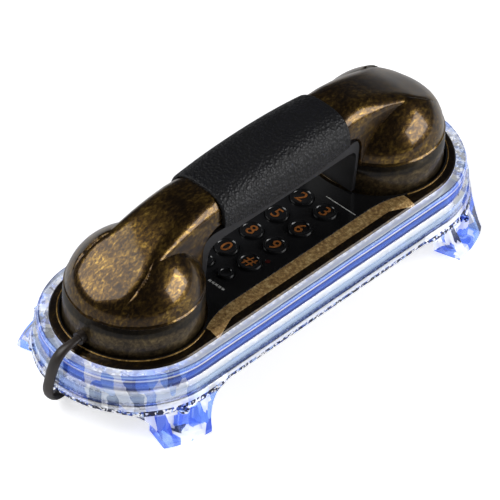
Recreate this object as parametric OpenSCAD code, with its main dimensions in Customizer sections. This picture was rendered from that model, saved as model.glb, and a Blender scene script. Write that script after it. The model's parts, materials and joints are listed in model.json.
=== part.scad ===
// Small arched telephone: a low racetrack base in clear acrylic and bronze, with an arched handset
// lying in two round wells. +Y runs from the mouthpiece end to the earpiece end, +Z is up, and
// the origin is on the table under the middle of the base.

/* [Base] */
// Distance from the middle to the centre of each round end, which is also a cup's centre
end_y = 69; // [66:0.5:74]
// Largest radius of the clear housing's ends
housing_r = 39; // [38.5:0.1:40]
// Height of the clear housing's lower edge above the table
housing_low = 13.6; // [13.4:0.1:14]
// Height of the clear housing's flat top
housing_top = 30.5; // [30.3:0.1:30.8]
// Radius of the bronze cover's ends
cover_r = 32.6; // [32.4:0.1:33]
// Height of the bronze cover's flat top
cover_top = 32; // [31.8:0.1:32.2]
// Radius of the feet's outer edge, about an end's centre
foot_r = 46; // [44:0.5:48]
// Width of a foot where it stands
foot_w = 21; // [18:0.5:24]
// Direction of each foot from the X axis, in degrees
foot_turn = 16.5; // [12:0.5:24]

/* [Keypad] */
// Distance between columns of keys
key_dx = 12.5; // [12.2:0.1:13]
// Distance between rows of keys
key_dy = 14.4; // [13:0.1:14.6]
// Diameter of a number key
key_d = 9.8; // [9:0.1:10]
// Diameter of a function button
button_d = 6.6; // [5.6:0.1:7.4]
// How far a key goes down
key_travel = 1.2; // [0.8:0.1:1.3]

/* [Handset] */
// Radius of the earpiece and mouthpiece cups
cup_r = 27.5; // [27:0.1:27.8]
// Height of the seam between the cups and the bronze shell
seam_z = 45.2; // [44:0.1:46]
// Height of the bronze domes above the seam
dome_h = 23.5; // [22:0.5:25]
// Width of the handle
handle_w = 26; // [24:0.5:27]
// Height of the top of the handle
crown_z = 74.6; // [73:0.1:76]
// Length of the leather grip
grip_len = 71; // [60:1:74]
// Height of the top of the leather grip
grip_top = 77.8; // [77:0.1:79]

/* [Cord] */
// Diameter of the plain stretches of the cord
cord_d = 4; // [3:0.5:4]
// Outer diameter of the curly stretch
curl_d = 12.2; // [11:0.1:12.4]

/* [Hidden] */
$fn = 64;
gap = 0.1;                              // clearance between fixed pieces
bite = 1;                               // how far a cutting shape runs past a face

wall = 1.6;
cover_skirt_r = cover_r - 2;
pan_z = housing_low - 1.4;
pan_t = 2.4;
pan_top = pan_z + pan_t;
lid_under = cover_top - 2.8;            // underside of the cover's flat top
well_r = cup_r + 1;
well_floor = cover_top - 5.1;
panel_low = cover_top - 1.2;
panel_top = cover_top + 0.2;
panel_r = well_r + 0.9;
panel_waist = 23;
waist_fillet = 40;

key_top = cover_top + 1.4;
key_low = lid_under - 1.8;
key_rows = [1.79, 0.79, -0.21, -1.21];  // row centres, in row pitches from the middle
button_row = -28.7;
board_z = 20.4;
board_t = 1.6;
membrane_z = board_z + board_t;

boss_x = 24;
boss_y = 38;
jack_turns = [0, 34];                   // line jack and handset jack, degrees from +Y towards -X
jack_z = pan_top + gap;
jack_h = 10.1;

cup_low = well_floor + 0.3;
handle_low = 62;                        // underside of the bronze handle
strip_low = 57.4;                       // underside of the black strip
leg_y = end_y - 24.5;                   // inner face of the bronze legs
strip_t = 2.5;
strip_foot = cover_top + 1;             // lower ends of the black strip, just clear of the panel
crown_flat = 44;                        // half length of the handle's level top
crown_power = 1.4;
dome_power = 1.8;
dome_r = cup_r - 0.7;
shell_wall = 2.2;
shell_low = seam_z + 0.4;

curl_x = -54;
curl_y = [-9, 107];
lead_route = [
    [0, -99.3, 35.6], [0, -102.5, 35.4], [-0.6, -106.5, 33.9], [-1.2, -109.3, 30.4],
    [-2.2, -110.4, 25], [-3.2, -110.6, 19.5], [-4.2, -110.4, 14], [-5.4, -108.2, 9],
    [-7, -103.6, 5], [-9, -97, 2.8], [-12, -86, 2.4], [-17, -74, 2.4], [-24, -62, 2.4],
    [-33, -50, 2.4], [-42, -38, 2.4], [-49, -27, 2.4], [-53, -17, 2.4], [-54, -9, 2.4]
];
tail_route = [
    [-54, 107, 2.4], [-52.5, 112, 2.6], [-47.5, 116.5, 4.5], [-40.5, 118, 9.5], [-34, 116, 15],
    [-29.6, 112.6, 18.6], [-26.9, 109, 19.9], [-25.2, 106.4, 20]
];

// A racetrack solid: the outline [radius, height] turned about both ends and run between them
module racetrack(outline) {
    for (s = [-1, 1]) translate([0, s * end_y, 0]) rotate_extrude() polygon(outline);
    rotate([90, 0, 0]) linear_extrude(2 * end_y, center = true) {
        polygon(outline);
        mirror([1, 0]) polygon(outline);
    }
}

module racetrack_block(r, low, high) racetrack([[0, low], [r, low], [r, high], [0, high]]);

module disc(r, low, high) translate([0, 0, low]) cylinder(r = r, h = high - low);

module at_ends() for (s = [-1, 1]) translate([0, s * end_y, 0]) children();

module at_corners() {
    for (mx = [0, 1]) for (my = [0, 1]) mirror([mx, 0, 0]) mirror([0, my, 0]) children();
}

module at_feet() at_corners() translate([0, end_y, 0]) rotate(foot_turn) children();

module at_bosses() at_corners() translate([boss_x, boss_y, 0]) children();

// A box from its middle in X and Y and its heights
module slab(w, l, low, high) translate([-w / 2, -l / 2, low]) cube([w, l, high - low]);

// ---- base -------------------------------------------------------------------------------

// Seen from outside: wide under the housing, with a round hollow down each side
module foot_face() {
    hollow_r = 12;
    wide = foot_w + 2 * hollow_r;
    difference() {
        translate([-wide / 2, 2]) square([wide, 16]);
        for (s = [-1, 1]) translate([s * wide / 2, 2]) circle(hollow_r);
    }
    translate([-foot_w / 2, 0.8]) square([foot_w, 3]);
}

module foot_solids() {
    reach = foot_r - housing_r;
    intersection() {
        at_feet() rotate([90, 0, 90]) linear_extrude(foot_r + bite) foot_face();
        difference() {
            racetrack([
                [0, 0.8], [foot_r, 0.8], [foot_r, 2.6], [housing_r + reach * 0.2, 12.5],
                [housing_r - 0.2, 18], [0, 18]
            ]);
            racetrack_block(foot_r - 11, 0, 20);
        }
    }
}

module clear_housing() color([0.62, 0.76, 0.97, 0.45]) {
    window_w = 12.6;
    difference() {
        union() {
            difference() {
                racetrack([
                    [0, housing_low], [housing_r, housing_low], [housing_r, 17.4],
                    [housing_r - 0.7, 17.8], [housing_r - 0.7, 18.4], [housing_r - 0.4, 22.4],
                    [housing_r - 1.5, 23.6], [housing_r - 1.8, 24], [housing_r - 1.8, 29.1],
                    [housing_r - 2.5, housing_top], [0, housing_top]
                ]);
                racetrack_block(cover_skirt_r + gap, 0, cover_top);
                racetrack_block(cover_r + gap, cover_top - 2.7, cover_top);
            }
            foot_solids();
        }
        // A window through each foot's face, and a seat for its pad
        at_feet() {
            translate([foot_r - 8.4, -window_w / 2, 4]) cube([foot_r, window_w, 8]);
            translate([foot_r - 5.2, 0, 0]) cylinder(r = 3.7, h = 2.2);
        }
        for (turn = jack_turns) jack_space(turn);
    }
    at_feet() translate([foot_r - 5.2, 0, 3.4]) cylinder(r = 2.2, h = 10.4);
}

module foot_pads() color([0.8, 0.84, 0.88])
    at_feet() translate([foot_r - 5.2, 0, 0]) cylinder(r = 3.6, h = 2.1);

function arc(centre, r, from, to, steps) = [for (i = [0 : steps])
    let (a = from + (to - from) * i / steps) centre + r * [cos(a), sin(a)]];

// Black panel outline: a circle round each well, drawn in to a waist by four large curves
module panel_outline() {
    curve_x = panel_waist + waist_fillet;
    drop = sqrt(pow(panel_r + waist_fillet, 2) - pow(curve_x, 2));
    meet = atan2(drop, curve_x);
    corner = concat(
        arc([0, end_y], panel_r, 90, -meet, 20),
        arc([curve_x, end_y - drop], waist_fillet, 180 - meet * 5 / 6, 180, 5)
    );
    right = concat(corner, [for (i = [len(corner) - 1 : -1 : 0]) [corner[i][0], -corner[i][1]]]);
    inner = [for (i = [len(right) - 2 : -1 : 1]) [-right[i][0], right[i][1]]];
    polygon(concat(right, inner));
}

// Every key's place: column, row
key_places = [for (row = [0 : 3]) for (col = [-1 : 1]) [col * key_dx, key_rows[row] * key_dy]];
button_places = [for (col = [-1 : 1]) [-col * 10.5, button_row]];

module key_holes() {
    for (p = key_places) translate([p[0], p[1], lid_under - bite])
        cylinder(d = key_d + 0.6, h = 6);
    for (p = button_places) translate([p[0], p[1], lid_under - bite])
        cylinder(d = button_d + 0.6, h = 6);
    translate([16.7, -11.7, lid_under - bite]) cylinder(r = 1.1, h = 6);
}

module base_cover() color([0.42, 0.32, 0.13]) {
    difference() {
        union() {
            difference() {
                racetrack([
                    [0, 22], [cover_skirt_r, 22], [cover_skirt_r, cover_top - 2.6],
                    [cover_r, cover_top - 2.6], [cover_r, cover_top - 1.4],
                    [cover_r - 0.5, cover_top - 0.9], [cover_r - 3.4, cover_top], [0, cover_top]
                ]);
                racetrack_block(cover_skirt_r - wall, 20, lid_under);
            }
            at_ends() disc(well_r + 1.5, well_floor - 1.5, cover_top - 1);
            at_bosses() disc(3.2, pan_top + gap, lid_under + bite);
        }
        at_ends() disc(well_r, well_floor, cover_top + bite);
        translate([0, 0, panel_low]) linear_extrude(4) panel_outline();
        key_holes();
        translate([0, -end_y, 0]) disc(3.3, 20, 30);
        at_bosses() disc(1.25, 10, 26);
        for (turn = jack_turns) jack_space(turn);
    }
}

module keypad_panel() color([0.06, 0.06, 0.065]) difference() {
    translate([0, 0, panel_low]) linear_extrude(panel_top - panel_low) panel_outline();
    at_ends() disc(well_r, panel_low - bite, panel_top + bite);
    key_holes();
}

module base_pan() color([0.09, 0.09, 0.1]) difference() {
    union() {
        racetrack_block(cover_skirt_r + 3, pan_z, housing_low);
        racetrack_block(cover_skirt_r, pan_z, pan_top);
        at_corners() translate([22, 30, 0]) disc(2.6, pan_top - bite, board_z);
    }
    at_bosses() {
        disc(1.6, pan_z - bite, pan_top + bite);
        disc(3, pan_z - bite, pan_z + 1.2);
    }
    at_corners() translate([22, 30, 0]) disc(0.9, pan_top, board_z + bite);
    // Sound slots under the ringer
    for (i = [-3 : 3]) translate([i * 3.4, end_y - 11, 0]) slab(1.5, 16, pan_z - bite, pan_top + bite);
}

module main_board() color([0.1, 0.3, 0.17]) difference() {
    slab(52, 68, board_z, board_z + board_t);
    at_corners() translate([22, 30, 0]) disc(1.3, board_z - bite, board_z + 3);
}

module board_parts() color([0.16, 0.16, 0.17]) {
    low = board_z;
    translate([0, 6, 0]) slab(9, 19, low - 3, low);
    translate([-15, -12, 0]) disc(3.1, low - 5, low);
    translate([15, 16, 0]) disc(2.6, low - 5, low);
    translate([14, -16, 0]) slab(5, 11, low - 3.4, low);
}

module keypad_membrane() color([0.82, 0.82, 0.8]) {
    slab(38, 68, membrane_z, membrane_z + 1.2);
    for (p = key_places) translate([p[0], p[1], 0]) disc(3.4, membrane_z + 1, key_low - key_travel - 0.2);
    for (p = button_places) translate([p[0], p[1], 0]) disc(2.4, membrane_z + 1, key_low - key_travel - 0.2);
}

module indicator_light() color([0.8, 0.2, 0.15])
    translate([16.7, -11.7, 0]) disc(0.95, membrane_z + 1.3, panel_top);

module ringer_speaker() color([0.3, 0.3, 0.32]) translate([0, end_y - 11, 0]) {
    disc(15, pan_top + gap, pan_top + 3);
    disc(9, pan_top + 3, pan_top + 8);
}

module hook_switch() color([0.13, 0.13, 0.14]) translate([0, -end_y, 0]) {
    slab(20, 16, pan_top + gap, pan_top + 1.7);
    slab(12.8, 6, pan_top + 1.7, 18.6);
}

module hook_plunger() color([0.85, 0.85, 0.83]) translate([0, -end_y, 0]) {
    disc(3, 19, well_floor + 0.1);
    disc(4.4, 19, 20.4);
}

// The space that a jack takes, run out through the housing's wall
module jack_space(turn) translate([0, end_y, 0]) rotate(turn)
    translate([-6.6, 23.5, jack_z - gap]) cube([13.2, 20, jack_h + 2 * gap]);

// A modular jack facing outwards: a block with a stepped socket
module jack(turn, socket_w) translate([0, end_y, 0]) rotate(turn) difference() {
    translate([-6.5, 24, jack_z]) cube([13, 13.6, jack_h]);
    translate([-socket_w / 2, 27, jack_z + 1.4]) cube([socket_w, 12, 6.8]);
    translate([-1.6, 27, jack_z + 8]) cube([3.2, 12, 1.3]);
}

module line_jack() color([0.12, 0.12, 0.13]) jack(jack_turns[0], 9.8);

module handset_jack() color([0.12, 0.12, 0.13]) jack(jack_turns[1], 7.8);

light_places = [for (s = [-1, 1]) for (y = [-48 : 24 : 48]) [s, y]];

module light_strips() color([0.85, 0.87, 0.9])
    for (s = [-1, 1]) translate([s * 28.3, 0, 0]) slab(1.2, 104, 15, 20);

module blue_lights() color([0.35, 0.55, 1])
    for (p = light_places) translate([p[0] * 29.7, p[1], 0]) slab(1.5, 3.2, 16, 18.6);

module base_weight() color([0.5, 0.5, 0.52]) translate([0, -end_y + 24, 0])
    slab(34, 14, pan_top + gap, pan_top + 3.6);

module base_screws() color([0.7, 0.7, 0.72]) at_bosses() {
    disc(2.8, pan_z + 0.1, pan_z + 1.2);
    disc(1.25, pan_z + 1.2, 24);
}

module board_screws() color([0.72, 0.68, 0.5]) at_corners() translate([22, 30, 0]) {
    disc(2.2, board_z + board_t, board_z + board_t + 1.1);
    disc(0.9, pan_top + 1, board_z + board_t);
}

// ---- keys -------------------------------------------------------------------------------

// A round key: a skirt that keeps it in, a stem, and a raised rim round its face
module round_key(place, d) translate([place[0], place[1], 0]) difference() {
    union() {
        disc(d / 2 + 1, key_low, key_low + 1);
        disc(d / 2, key_low, key_top);
    }
    disc(d / 2 - 0.9, key_top - 0.5, key_top + bite);
}

module number_key(i) color([0.07, 0.07, 0.075]) round_key(key_places[i], key_d);

module function_button(i) color([0.07, 0.07, 0.075]) round_key(button_places[i], button_d);

// ---- handset ----------------------------------------------------------------------------

// Height of the handset's top above a distance y from its middle, set in by a margin
function crown(y, margin) =
    let (reach = end_y + cup_r - 0.2 - margin - crown_flat,
         t = min(1, max(0, abs(y) - crown_flat) / reach))
    seam_z + (crown_z - margin - seam_z) * pow(1 - pow(t, crown_power), 1 / crown_power);

function crown_line(margin) =
    let (last = end_y + cup_r - 0.2 - margin)
    [for (i = [-10 : 10])
        let (y = crown_flat + (last - crown_flat) * sin(9 * abs(i)))
        i == 0 ? [0, crown(0, margin)] : [sign(i) * y, crown(y, margin)]];

// Half of the arch's inner outline: up the leg, round the corner, to the middle
function inner_line(face, under, corner, low) = concat(
    [[face, low]],
    [for (a = [0 : 15 : 90]) [face - corner + corner * cos(a), under - corner + corner * sin(a)]]
);

function both_sides(half) =
    concat(half, [for (i = [len(half) - 1 : -1 : 0]) [-half[i][0], half[i][1]]]);

// An outline [y, z] given a width in X
module across(width) rotate([90, 0, 90]) linear_extrude(width, center = true) children();

module arch_outline(margin) difference() {
    polygon(concat(crown_line(margin), [
        [end_y + cup_r - 0.2 - margin, seam_z - 3], [-end_y - cup_r + 0.2 + margin, seam_z - 3]
    ]));
    polygon(both_sides(inner_line(leg_y + margin, handle_low + margin, 8, 0)));
}

function dome_outline(r, h) = concat([[0, seam_z - 2], [r, seam_z - 2]],
    [for (a = [0 : 10 : 90])
        [r * pow(cos(a), 2 / dome_power), seam_z + h * pow(sin(a), 2 / dome_power)]]);

// The handset's outer form, or with a margin the hollow in it
module handset_form(margin) {
    intersection() {
        across(handle_w - 2 * margin) arch_outline(margin);
        union() {
            slab(handle_w, 2 * end_y, 0, 100);
            at_ends() disc(dome_r + 0.4 - margin, 0, 100);
        }
    }
    // The domes stand out on both sides of the arch, and nothing stands above its top
    difference() {
        at_ends() rotate_extrude() polygon(dome_outline(dome_r - margin, dome_h - margin));
        across(handle_w + 2 * margin) polygon(concat(crown_line(margin), [
            [end_y + cup_r, 120], [-end_y - cup_r, 120]
        ]));
    }
}

// The flat seat that the black strip takes out of both legs and cups
module strip_seat() slab(handle_w - 2.8, 2 * leg_y, strip_foot - gap, strip_low - 1);

module handset_shell() color([0.45, 0.34, 0.13]) {
    difference() {
        handset_form(0);
        handset_form(shell_wall);
        slab(handle_w - 2 * shell_wall, 2 * leg_y - 8, 0, crown_z - 10);
        slab(100, 300, 0, shell_low);
        strip_seat();
    }
    for (s = [-1, 1]) translate([0, s * 30, 0]) difference() {
        disc(2.8, handle_low + 0.2, crown_z - 1.5);
        disc(1.1, handle_low - 1, crown_z - 6);
    }
}

module cup() difference() {
    union() {
        rotate_extrude() polygon([
            [0, cup_low], [cup_r - 1.8, cup_low], [cup_r, cup_low + 1.8], [cup_r, seam_z],
            [0, seam_z]
        ]);
        disc(dome_r - 3.2, seam_z - bite, seam_z + 2);
    }
    disc(cup_r - 2.4, cup_low + 2, seam_z - 1.4);
    disc(dome_r - 4.8, seam_z - 2, seam_z + 3);
    disc(20, cup_low - bite, cup_low + 4);
}

module mouthpiece_cup() color([0.4, 0.32, 0.16]) difference() {
    translate([0, -end_y, 0]) cup();
    strip_seat();
    translate([0, -end_y, 35.6]) rotate([90, 0, 0]) cylinder(r = 2.7, h = 40);
}

module earpiece_cup() color([0.4, 0.32, 0.16]) difference() {
    translate([0, end_y, 0]) cup();
    strip_seat();
}

module handle_underside() color([0.07, 0.07, 0.075]) difference() {
    across(handle_w - 3) difference() {
        polygon(both_sides(inner_line(leg_y - gap, handle_low - gap, 8, strip_foot)));
        polygon(both_sides(inner_line(leg_y - strip_t, strip_low, 7, 0)));
    }
    for (s = [-1, 1]) translate([0, s * 30, 0]) {
        disc(1.5, strip_low - bite, handle_low + bite);
        disc(2.9, strip_low - bite, strip_low + 1.8);
    }
}

// A leather sleeve over the handle's top and sides, open underneath
module leather_grip() color([0.08, 0.08, 0.085]) {
    half = handle_w / 2 + 2.4;
    round_r = 6;
    low = strip_low - 0.6;
    difference() {
        rotate([90, 0, 0]) linear_extrude(grip_len, center = true) {
            translate([-half, low + 2]) square([2 * half, grip_top - round_r - low - 2]);
            translate([-half + 2, low]) square([2 * half - 4, 4]);
            translate([-half + round_r, low + 3]) square([2 * (half - round_r), grip_top - low - 3]);
            for (s = [-1, 1]) {
                translate([s * (half - round_r), grip_top - round_r]) circle(round_r);
                translate([s * (half - 2), low + 2]) circle(2);
            }
        }
        slab(handle_w + 2 * gap, 100, handle_low - gap, crown_z + gap);
        slab(handle_w - 3 + 2 * gap, 100, 0, handle_low + gap);
    }
}

module grille() difference() {
    disc(19.8, cup_low + 0.4, cup_low + 2);
    for (ring = [1 : 3]) for (i = [1 : 6 * ring]) rotate(i * 60 / ring)
        translate([ring * 4.2, 0, 0]) disc(1, cup_low - bite, cup_low + 3);
}

module mouthpiece_grille() color([0.09, 0.09, 0.1]) translate([0, -end_y, 0]) grille();

module earpiece_grille() color([0.09, 0.09, 0.1]) translate([0, end_y, 0]) grille();

module receiver_capsule() color([0.55, 0.55, 0.57]) translate([0, end_y, 0]) {
    disc(15, cup_low + 2.2, cup_low + 7);
    disc(9, cup_low + 7, cup_low + 10);
}

module microphone_capsule() color([0.6, 0.6, 0.62]) translate([0, -end_y, 0])
    disc(4.8, cup_low + 2.2, cup_low + 7);

module microphone_boot() color([0.12, 0.12, 0.12]) translate([0, -end_y, 0]) difference() {
    disc(6.6, cup_low + 2.1, cup_low + 8.5);
    disc(4.9, cup_low + 1, cup_low + 7.1);
}

module handset_weight() color([0.5, 0.5, 0.52]) slab(14, 48, handle_low + 2, handle_low + 8);

module handset_screws() color([0.7, 0.7, 0.72]) for (s = [-1, 1]) translate([0, s * 30, 0]) {
    disc(2.6, strip_low + 0.3, strip_low + 1.8);
    disc(1.1, strip_low + 1.8, handle_low + 6);
}

module cord_boot() color([0.1, 0.1, 0.1]) translate([0, 0, 35.6]) rotate([90, 0, 0]) {
    translate([0, 0, 91.6]) cylinder(r = 3.6, h = 2);
    translate([0, 0, 93]) cylinder(r = 2.6, h = 6);
}

// ---- cord -------------------------------------------------------------------------------

function unit(v) = v / norm(v);

// Direction of a route at point i
function heading(route, i) =
    unit(route[min(i + 1, len(route) - 1)] - route[max(i - 1, 0)]);

// A point on a smooth curve through the route, t from 0 to 1 between points i and i + 1
function smooth(route, i, t) =
    let (a = route[max(i - 1, 0)], b = route[i], c = route[i + 1],
         d = route[min(i + 2, len(route) - 1)])
    0.5 * (2 * b + (c - a) * t + (2 * a - 5 * b + 4 * c - d) * t * t
           + (3 * b - a - 3 * c + d) * t * t * t);

function smoothed(route) = concat(
    [for (i = [0 : len(route) - 2]) for (t = [0, 0.5]) smooth(route, i, t)],
    [route[len(route) - 1]]
);

// A tube along a route: 8 sides, a ring at each point, and steady, a direction it never runs in
module tube(route, r, steady) {
    sides = 8;
    count = len(route);
    points = [for (i = [0 : count - 1])
        let (h = heading(route, i), u = unit(cross(h, steady)), w = cross(h, u))
        for (k = [0 : sides - 1])
            route[i] + r * (u * cos(360 * k / sides) + w * sin(360 * k / sides))];
    walls = [for (i = [0 : count - 2]) for (k = [0 : sides - 1])
        let (n = (k + 1) % sides, low = i * sides, high = (i + 1) * sides)
        for (t = [[low + k, low + n, high + n], [low + k, high + n, high + k]]) t];
    ends = [[for (k = [sides - 1 : -1 : 0]) k],
            [for (k = [0 : sides - 1]) (count - 1) * sides + k]];
    polyhedron(points, concat(walls, ends), convexity = 8);
}

module cord_lead() color([0.2, 0.18, 0.16]) tube(smoothed(lead_route), cord_d / 2, [1, 0, 0]);

module curly_cord() color([0.2, 0.18, 0.16]) translate([curl_x, curl_y[0], curl_d / 2 + 0.05])
    rotate([-90, 0, 0]) cylinder(d = curl_d, h = curl_y[1] - curl_y[0]);

module cord_tail() color([0.2, 0.18, 0.16]) tube(smoothed(tail_route), cord_d / 2, [0, 0, 1]);

module cord_plug() color([0.75, 0.76, 0.78, 0.6]) translate([0, end_y, 0]) rotate(jack_turns[1])
    translate([-3.7, 30, jack_z + 1.6]) cube([7.4, 14, 6.4]);

clear_housing();
foot_pads();
base_cover();
keypad_panel();
base_pan();
main_board();
board_parts();
keypad_membrane();
indicator_light();
ringer_speaker();
hook_switch();
hook_plunger();
line_jack();
handset_jack();
light_strips();
blue_lights();
base_weight();
base_screws();
board_screws();
number_key(0);  // key_1
number_key(1);  // key_2
number_key(2);  // key_3
number_key(3);  // key_4
number_key(4);  // key_5
number_key(5);  // key_6
number_key(6);  // key_7
number_key(7);  // key_8
number_key(8);  // key_9
number_key(9);  // key_star
number_key(10);  // key_0
number_key(11);  // key_hash
function_button(0);  // redial_button
function_button(1);  // flash_button
function_button(2);  // mute_button
handset_shell();
mouthpiece_cup();
earpiece_cup();
handle_underside();
leather_grip();
mouthpiece_grille();
earpiece_grille();
receiver_capsule();
microphone_capsule();
microphone_boot();
handset_weight();
handset_screws();
cord_boot();
cord_lead();
curly_cord();
cord_tail();
cord_plug();
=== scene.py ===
# %% [markdown]
# # An arched bronze telephone in a clear base
# The CAD model gives every part's size and place. This lesson adds what the eye looks for: rounded
# castings, lacquer, leather, clear acrylic and a coiled cord. Everything is in metres.

# %% Load the frame
import json
from math import cos, pi, radians, sin, sqrt

import bmesh
import bpy
from mathutils import Matrix, Vector

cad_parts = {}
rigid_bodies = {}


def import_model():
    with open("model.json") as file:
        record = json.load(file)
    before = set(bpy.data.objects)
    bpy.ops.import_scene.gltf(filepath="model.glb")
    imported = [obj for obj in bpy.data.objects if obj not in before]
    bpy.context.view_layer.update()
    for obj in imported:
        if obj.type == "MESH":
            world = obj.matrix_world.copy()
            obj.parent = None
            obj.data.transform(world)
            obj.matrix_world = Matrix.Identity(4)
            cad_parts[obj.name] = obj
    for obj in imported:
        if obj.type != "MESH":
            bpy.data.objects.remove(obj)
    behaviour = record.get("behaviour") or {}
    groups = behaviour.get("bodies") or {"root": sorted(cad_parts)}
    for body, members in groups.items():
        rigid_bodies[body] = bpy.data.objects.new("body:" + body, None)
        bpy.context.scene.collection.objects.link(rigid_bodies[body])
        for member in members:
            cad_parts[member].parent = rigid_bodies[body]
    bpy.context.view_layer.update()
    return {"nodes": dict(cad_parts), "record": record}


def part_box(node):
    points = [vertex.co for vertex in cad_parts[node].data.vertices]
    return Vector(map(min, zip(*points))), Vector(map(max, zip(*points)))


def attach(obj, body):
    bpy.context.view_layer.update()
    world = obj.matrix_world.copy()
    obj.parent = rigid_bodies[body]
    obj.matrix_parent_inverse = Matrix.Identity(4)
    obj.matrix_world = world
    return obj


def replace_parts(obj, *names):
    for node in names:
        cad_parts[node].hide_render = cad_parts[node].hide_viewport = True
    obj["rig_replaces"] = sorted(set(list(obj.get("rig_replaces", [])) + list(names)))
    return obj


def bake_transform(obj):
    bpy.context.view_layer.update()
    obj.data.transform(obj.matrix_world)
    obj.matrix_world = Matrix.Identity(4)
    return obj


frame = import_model()
MM = 0.001

# %% [markdown]
# ## Camera
# A long lens from 41 degrees round and 41 degrees up keeps the sides almost parallel, as a
# catalogue picture does. Its axes are built by hand, so that the small roll is exact.

# %% Camera
def direction(azimuth, elevation):
    return Vector((sin(azimuth) * cos(elevation), -cos(azimuth) * cos(elevation), sin(elevation)))


look_from = direction(radians(41.2), radians(41.2))
level = Vector((0, 0, 1)).cross(look_from).normalized()
upright = look_from.cross(level)
roll = 0.06
right = level * cos(roll) + upright * sin(roll)
up = upright * cos(roll) - level * sin(roll)
camera_data = bpy.data.cameras.new("camera")
camera_data.lens = 308
camera_data.sensor_width = 36
camera_data.clip_end = 20
camera = bpy.data.objects.new("camera", camera_data)
bpy.context.scene.collection.objects.link(camera)
turn = Matrix((right, up, look_from)).transposed().to_4x4()
camera_distance = 1.667
target = Vector((8.06, -11.69, 31.72)) * MM
target += up * 0.00066 - right * 0.00058
camera.matrix_world = Matrix.Translation(target + look_from * camera_distance) @ turn
bpy.context.scene.camera = camera
bpy.context.scene.view_settings.view_transform = "Standard"
print("camera at", [round(v, 3) for v in camera.matrix_world.translation])

# %% [markdown]
# ## Small helpers
# Colours are written as the sRGB hex values of a paint chart and turned to linear light once.
# One function adds a node with its settings and links; each material is then a short recipe.

# %% Colour and nodes
def hex_colour(text):
    channels = [int(text[i:i + 2], 16) / 255 for i in (1, 3, 5)]
    linear = [c / 12.92 if c <= 0.04045 else ((c + 0.055) / 1.055) ** 2.4 for c in channels]
    return (*linear, 1.0)


def add_node(material, kind, inputs=None, **settings):
    node = material.node_tree.nodes.new("ShaderNode" + kind)
    for name, value in settings.items():
        if name == "stops":
            ramp = node.color_ramp
            while len(ramp.elements) < len(value):
                ramp.elements.new(0.5)
            for element, (place, colour) in zip(ramp.elements, value):
                element.position = place
                element.color = hex_colour(colour)
        else:
            setattr(node, name, value)
    for name, value in (inputs or {}).items():
        socket = node.inputs[name]
        if isinstance(value, bpy.types.NodeSocket):
            material.node_tree.links.new(value, socket)
        else:
            socket.default_value = value
    return node


def new_material(name):
    material = bpy.data.materials.new(name)
    material.use_nodes = True
    material.node_tree.nodes.clear()
    return material


def surface(material, **inputs):
    sockets = {name.replace("_", " "): value for name, value in inputs.items()}
    shader = add_node(material, "BsdfPrincipled", sockets)
    add_node(material, "OutputMaterial", {"Surface": shader.outputs[0]})
    return material


print("helpers ready")

# %% [markdown]
# ## Rings
# Most pieces here are a loft: a ring at each station, each joined to the last by a bridge of
# faces. A ring starts as a circle and a placing function moves its points to where they belong.

# %% Lofting and finishing
def loft(bm, stations, sides, place, close=True):
    first = last = None
    for station in stations:
        ring = bmesh.ops.create_circle(bm, segments=sides, radius=1.0)["verts"]
        edges = list({e for v in ring for e in v.link_edges})
        for k, v in enumerate(ring):
            v.co = place(station, k / sides)
        if last:
            bmesh.ops.bridge_loops(bm, edges=last + edges)
        first, last = first or edges, edges
    if close:
        bmesh.ops.holes_fill(bm, edges=first + last, sides=0)
    bmesh.ops.recalc_face_normals(bm, faces=bm.faces)


def turned(bm, outline, x, y, steps=96):
    """Spins an outline of radius and height about an upright axis"""
    verts = [bm.verts.new((x + r, y, z)) for r, z in outline]
    edges = [bm.edges.new(pair) for pair in zip(verts, verts[1:])]
    made = bmesh.ops.spin(bm, geom=verts + edges, cent=(x, y, 0), axis=(0, 0, 1),
                          angle=2 * pi, steps=steps, use_merge=True)
    bmesh.ops.remove_doubles(bm, verts=bm.verts, dist=1e-6)
    bmesh.ops.recalc_face_normals(bm, faces=bm.faces)
    return made


def make_piece(name, bm, material, body, nodes=(), sharp=35):
    mesh = bpy.data.meshes.new(name)
    bm.to_mesh(mesh)
    bm.free()
    mesh.materials.append(material)
    mesh.polygons.foreach_set("use_smooth", [True] * len(mesh.polygons))
    mesh.set_sharp_from_angle(angle=radians(sharp))
    piece = bpy.data.objects.new(name, mesh)
    bpy.context.scene.collection.objects.link(piece)
    if body:
        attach(piece, body)
    if nodes:
        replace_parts(piece, *nodes)
    print(name, len(mesh.polygons), "faces")
    return piece


print("loft ready")

# %% [markdown]
# ## Cord rubber
# The cord is a flat two-sided ribbon of soft PVC. Moulded PVC is nearly matt, with a faint grain
# and a slow change of tone where it has been handled.

# %% Cord material
soft_pvc = new_material("soft_pvc_cord")
spot = add_node(soft_pvc, "TexCoord").outputs["Object"]
tone = add_node(soft_pvc, "TexNoise", {"Vector": spot, "Scale": 90.0, "Detail": 3.0}).outputs["Fac"]
grain = add_node(soft_pvc, "TexNoise", {"Vector": spot, "Scale": 2600.0,
                                        "Detail": 2.0}).outputs["Fac"]
pvc_colour = add_node(soft_pvc, "ValToRGB", {"Fac": tone},
                      stops=[(0.3, "#1c1815"), (0.7, "#352d27")])
pvc_bump = add_node(soft_pvc, "Bump", {"Height": grain, "Strength": 0.25, "Distance": 0.0001})
surface(soft_pvc, Base_Color=pvc_colour.outputs[0], Roughness=0.42, IOR=1.5,
        Normal=pvc_bump.outputs[0])
print(soft_pvc.name)

# %% [markdown]
# ## The cord
# It leaves the mouthpiece, bends down over the rim of the base, runs under it and along the far
# side as a coil, and plugs into the end. Each stretch has its own rule: a smooth curve through
# a few points for the plain ends, and a helix for the coil. The ribbon is 4.8 mm wide and 3 mm
# thick, so each ring also needs the direction in which the ribbon is wide.

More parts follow.
